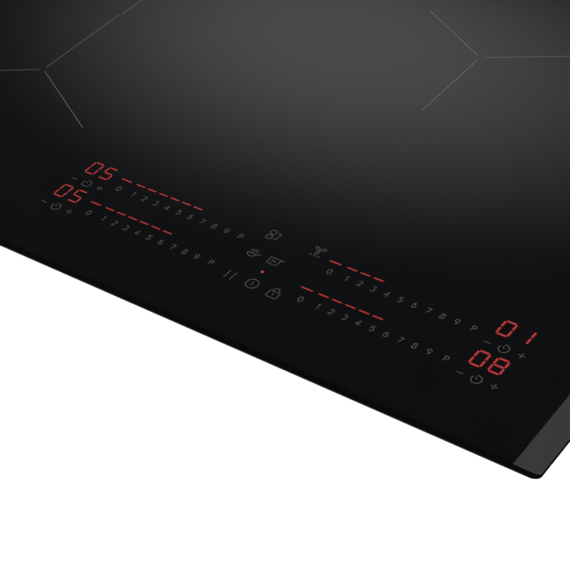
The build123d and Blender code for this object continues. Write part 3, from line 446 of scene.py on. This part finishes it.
def key_icons():
    """Line drawings of the middle keys, in millimetres round each key's own centre."""
    bridge = [box_outline(-4.6, 0.0, 0.5, 5.0), box_outline(-4.6, 0.0, -5.2, -0.7)]
    bridge.append([(1.6, 3.4), (4.4, 3.4), (4.4, -3.4), (1.6, -3.4)])
    pan = [[(-5.0, -0.6), (3.9, -0.6), (6.6, 1.4)]]
    pan.append([(-5.0, -0.6)] + arc(-0.6, -0.6, 3.6, 3.3, 200, 340, 10) + [(3.9, -0.6)])
    for x in (-2.4, -0.1, 2.2):
        pan.append([(x, 0.9), (x - 0.6, 2.0), (x + 0.3, 3.1), (x - 0.2, 4.6)])
    pot = [[(-5.4, 3.3), (7.2, 3.3)]]
    pot.append([(-4.7, 3.2), (-4.7, -2.4), (-3.7, -3.5), (3.2, -3.5), (4.2, -2.4), (4.2, 3.2)])
    pot.append([(-2.0, 1.2), (-0.7, 0.0), (-2.0, -1.2)])
    pot.append(arc(1.0, 0.0, 0.55, 0.55, 0, 360, 12))
    pause = [[(-2.7, -4.4), (-2.7, 4.4)], [(2.7, -4.4), (2.7, 4.4)]]
    power = [arc(0, 0, 4.9, 4.9, 0, 360, 40), [(0, -2.2), (0, 2.2)]]
    lock = [box_outline(-4.5, 4.5, -4.4, 2.2, 0.7)]
    lock.append([(-2.4, 2.2)] + arc(0, 3.2, 2.4, 2.6, 180, 0, 12) + [(2.4, 2.2)])
    lock.append([(0, 0.2), (0, -1.8)])
    fan = []
    for angle in (30, 150, 270):
        turn = math.radians(angle)
        lobe = arc(3.0, 0, 2.1, 1.15, 0, 360, 18)
        fan.append([(x * math.cos(turn) - y * math.sin(turn), x * math.sin(turn) + y * math.cos(turn) + 0.9)
                    for x, y in lobe])
    fan.append(arc(0, 0.9, 0.6, 0.6, 0, 360, 12))
    for x in (-3.4, 0.0, 3.4):
        fan.append([(x - 1.1, -6.0), (x + 1.1, -6.0)])
    return {
        "key_bridge": bridge,
        "key_pan": pan,
        "key_pot": pot,
        "key_pause": pause,
        "key_power": power,
        "key_lock": lock,
        "key_fan": fan,
    }


def draw_icon(lines, centre):
    """A drawing function for one key."""
    def draw(mesh, base):
        for line in placed(lines, centre, MM):
            add_stroke(mesh, line, ICON_LINE, base)
    return draw


def draw_zone_mark(zone):
    """Three thin arms that meet at the zone's centre."""
    radius, first = ZONE_MARKS[zone]
    low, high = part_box(f"coil_carrier_{zone}")
    centre = (low.xy + high.xy) / 2 + Vector((RIM_X, -RIM_Y))

    def draw(mesh, base):
        for turn in (0, 120, 240):
            angle = math.radians(first + turn)
            way = Vector((math.cos(angle), math.sin(angle)))
            add_stroke(mesh, [centre + way * MARK_GAP, centre + way * radius], ZONE_LINE, base)
    return draw


# ---- lit elements -------------------------------------------------------------------------
DIGITS = {"0": "abcdef", "1": "bc", "5": "acdfg", "8": "abcdefg"}


def segment_line(name):
    """The end points of one segment in a digit of width 1 and height 2."""
    corners = {
        "a": ((-1, 2), (1, 2)),
        "b": ((1, 2), (1, 0)),
        "c": ((1, 0), (1, -2)),
        "d": ((-1, -2), (1, -2)),
        "e": ((-1, 0), (-1, -2)),
        "f": ((-1, 2), (-1, 0)),
        "g": ((-1, 0), (1, 0)),
    }
    return [Vector(corner) for corner in corners[name]]


def draw_timer(text, centre, width):
    """A two-digit timer; width is the segments' thickness."""
    def draw(mesh, base):
        for place, digit in enumerate(text):
            middle = centre + Vector(((place - 0.5) * DIGIT_PITCH, 0))
            for name in DIGITS[digit]:
                ends = [Vector((end.x * DIGIT_WIDTH / 2, end.y * DIGIT_HEIGHT / 4))
                        for end in segment_line(name)]
                way = (ends[1] - ends[0]).normalized()
                short = [ends[0] + way * DIGIT_GAP, ends[1] - way * DIGIT_GAP]
                add_stroke(mesh, [middle + end for end in short], width, base)
    return draw


def draw_dashes(start, y, lit, width, grow=0.0):
    """The lit steps of one slider: a long first dash, then even ones."""
    def draw(mesh, base):
        for step in range(lit):
            half = (FIRST_DASH if step == 0 else DASH) / 2 + grow
            x = start if step == 0 else start + SECOND_DASH + DASH_PITCH * (step - 1)
            centre = spot(x, y)
            add_stroke(mesh, [centre - Vector((half, 0)), centre + Vector((half, 0))], width, base)
    return draw


def add_lights():
    """The four timers, the four slider rows and the power light."""
    above = TOP + PRINT_HEIGHT
    for name, (text, x, y, bar) in TIMERS.items():
        centre = spot(x, y)
        flat_piece(f"{name}_glow", "lit_glow", draw_timer(text, centre, DIGIT_GLOW * bar))
        flat_piece(name, "lit_red", draw_timer(text, centre, bar), above)
    for name, (x, y, lit) in SLIDER_LIGHTS.items():
        glow = draw_dashes(x, y, lit, DASH_GLOW * DASH_WIDTH, DASH_GLOW_GROWTH)
        flat_piece(f"{name}_glow", "lit_glow", glow)
        flat_piece(name, "lit_red", draw_dashes(x, y, lit, DASH_WIDTH), above)

    def draw_dot(mesh, base):
        ring = arc(0, 0, POWER_LIGHT_RADIUS, POWER_LIGHT_RADIUS, 0, 360, 16)
        add_stroke(mesh, placed([ring], spot(*POWER_LIGHT), MM)[0], POWER_LIGHT_LINE, base)
    flat_piece("power_light", "lit_red", draw_dot, above)


def add_prints():
    """Everything printed on the glass."""
    flat_piece("slider_numerals", "print_grey", draw_numerals)
    flat_piece("timer_keys", "print_grey", draw_timer_keys)
    for name, lines in key_icons().items():
        flat_piece(name, "print_grey", draw_icon(lines, spot(*KEY_PLACES[name])))
    for zone in ZONE_MARKS:
        flat_piece(f"zone_mark_{zone}", "print_light", draw_zone_mark(zone))


# ---- coil windings ------------------------------------------------------------------------
def add_winding(zone):
    """A real flat spiral of litz wire in place of the CAD disc."""
    node = f"coil_winding_{zone}"
    low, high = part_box(node)
    centre = (low + high) / 2
    wire = (high.z - low.z) / 2 - WIRE_CLEARANCE
    inner, outer = WINDING_INNER + wire, (high.x - low.x) / 2 - wire
    turns = math.floor((outer - inner) / (TURN_PITCH * wire))
    last = turns * TURN_STEPS
    curve = bpy.data.curves.new(f"winding_{zone}", "CURVE")
    curve.dimensions = "3D"
    curve.bevel_depth = wire
    curve.bevel_resolution = 3
    curve.use_fill_caps = True
    line = curve.splines.new("POLY")
    line.points.add(last)
    for index in range(last + 1):
        angle = 2 * math.pi * index / TURN_STEPS
        radius = inner + (outer - inner) * index / last
        x, y = centre.x + radius * math.cos(angle), centre.y + radius * math.sin(angle)
        line.points[index].co = (x, y, centre.z, 1.0)
    maker = bpy.data.objects.new(f"winding_{zone}_line", curve)
    bpy.context.collection.objects.link(maker)
    graph = bpy.context.evaluated_depsgraph_get()
    data = bpy.data.meshes.new_from_object(maker.evaluated_get(graph))
    bpy.data.objects.remove(maker)
    data.materials.clear()
    data.materials.append(MATERIALS["litz_copper"])
    for face in data.polygons:
        face.use_smooth = True
    piece = bpy.data.objects.new(f"winding_{zone}", data)
    bpy.context.collection.objects.link(piece)
    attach(piece, f"coil_unit_{zone}")
    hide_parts(node)


# ---- coil springs -------------------------------------------------------------------------
def add_springs(zone):
    """The zone's three springs, copied from the CAD node and fixed to the hob."""
    node = f"coil_springs_{zone}"
    piece = bpy.data.objects.new(f"springs_{zone}", frame["nodes"][node].data.copy())
    bpy.context.collection.objects.link(piece)
    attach(piece, "root")
    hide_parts(node)
    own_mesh(piece)


# ---- studio -------------------------------------------------------------------------------
def stage_plane(name, size, place, material):
    """A flat stage piece."""
    bpy.ops.mesh.primitive_plane_add(size=1, location=place)
    plane = bpy.context.object
    plane.name = name
    plane.scale = (*size, 1)
    plane.data.materials.append(material)
    return plane


def floor_material():
    """A pale floor that stays white up to the hob."""
    material, nodes, _ = new_material("studio_floor")
    shader = nodes["Principled BSDF"]
    shader.inputs["Base Color"].default_value = (0.8, 0.8, 0.8, 1)
    shader.inputs["Roughness"].default_value = 0.9
    shader.inputs["Emission Color"].default_value = (1, 1, 1, 1)
    shader.inputs["Emission Strength"].default_value = 0.9
    return material


def reflector_material():
    """A soft round light that fades to nothing at its rim."""
    material, nodes, links = new_material("reflector_light")
    nodes.remove(nodes["Principled BSDF"])
    where = nodes.new("ShaderNodeTexCoord")
    distance = nodes.new("ShaderNodeVectorMath")
    distance.operation = "LENGTH"
    links.new(where.outputs["Object"], distance.inputs[0])
    fade = nodes.new("ShaderNodeMapRange")
    fade.interpolation_type = "SMOOTHSTEP"
    fade.inputs["From Min"].default_value, fade.inputs["From Max"].default_value = REFLECTOR_FADE
    fade.inputs["To Min"].default_value, fade.inputs["To Max"].default_value = 0.0, REFLECTOR_LIGHT
    links.new(distance.outputs["Value"], fade.inputs["Value"])
    light = nodes.new("ShaderNodeEmission")
    links.new(fade.outputs["Result"], light.inputs["Strength"])
    clear = nodes.new("ShaderNodeBsdfTransparent")
    both = nodes.new("ShaderNodeAddShader")
    links.new(light.outputs["Emission"], both.inputs[0])
    links.new(clear.outputs["BSDF"], both.inputs[1])
    links.new(both.outputs["Shader"], nodes["Material Output"].inputs["Surface"])
    return material


def add_area(name, place, power):
    """A soft box aimed at the frame's origin."""
    lamp = bpy.data.lights.new(name, "AREA")
    lamp.shape = "RECTANGLE"
    lamp.size, lamp.size_y = AREA_SIZE
    lamp.energy = power
    holder = bpy.data.objects.new(name, lamp)
    holder.location = place
    holder.rotation_mode = "QUATERNION"
    holder.rotation_quaternion = (-Vector(place)).to_track_quat("-Z", "Y")
    bpy.context.collection.objects.link(holder)


def add_studio():
    """Floor, reflector, soft boxes and a dim world."""
    stage_plane("studio_floor", (FLOOR_SIZE, FLOOR_SIZE), (0, 0, FLOOR - FLOOR_GAP), floor_material())
    height = TOP + REFLECTOR_HEIGHT
    size = (2 * REFLECTOR_REACH[0], 2 * REFLECTOR_REACH[1])
    reflector = stage_plane("reflector", size, (*REFLECTOR_PLACE, height), reflector_material())
    reflector.visible_camera = False
    reflector.visible_shadow = False
    add_area("key_light", KEY_LIGHT_PLACE, KEY_LIGHT_POWER)
    add_area("fill_light", FILL_LIGHT_PLACE, FILL_LIGHT_POWER)
    bpy.context.scene.world = studio_air()


def studio_air():
    """A dim room above a white horizon that runs on from the floor."""
    world = bpy.data.worlds.new("studio_air")
    world.use_nodes = True
    nodes, links = world.node_tree.nodes, world.node_tree.links
    where = nodes.new("ShaderNodeTexCoord")
    split = nodes.new("ShaderNodeSeparateXYZ")
    links.new(where.outputs["Generated"], split.inputs["Vector"])
    rise = nodes.new("ShaderNodeMapRange")
    rise.interpolation_type = "SMOOTHSTEP"
    rise.inputs["From Min"].default_value, rise.inputs["From Max"].default_value = HORIZON
    links.new(split.outputs["Z"], rise.inputs["Value"])
    sky = nodes.new("ShaderNodeMix")
    sky.data_type = "RGBA"
    sky.inputs["A"].default_value = (1, 1, 1, 1)
    sky.inputs["B"].default_value = (*ROOM_COLOUR, 1)
    links.new(rise.outputs["Result"], sky.inputs["Factor"])
    links.new(sky.outputs["Result"], nodes["Background"].inputs["Color"])
    return world


def add_camera():
    """The camera, placed from the layout's front right corner."""
    azimuth, elevation = math.radians(CAMERA_AZIMUTH), math.radians(CAMERA_ELEVATION)
    flat = math.cos(elevation)
    back = Vector((math.sin(azimuth) * flat, -math.cos(azimuth) * flat, math.sin(elevation)))
    camera = bpy.data.objects.new("camera", bpy.data.cameras.new("camera"))
    camera.data.lens = CAMERA_LENS
    camera.data.sensor_width = CAMERA_SENSOR
    camera.data.clip_start = CAMERA_NEAR
    camera.location = Vector((RIGHT, FRONT, TOP)) + CAMERA_OFFSET
    camera.rotation_mode = "QUATERNION"
    roll = Quaternion((0, 0, 1), math.radians(CAMERA_ROLL))
    camera.rotation_quaternion = (-back).to_track_quat("-Z", "Y") @ roll
    bpy.context.collection.objects.link(camera)
    bpy.context.scene.camera = camera


dress_frame()
add_camera()
add_prints()
add_lights()
for zone_name in ZONE_MARKS:
    add_winding(zone_name)
    add_springs(zone_name)
add_studio()
bpy.context.scene.view_settings.view_transform = "Standard"
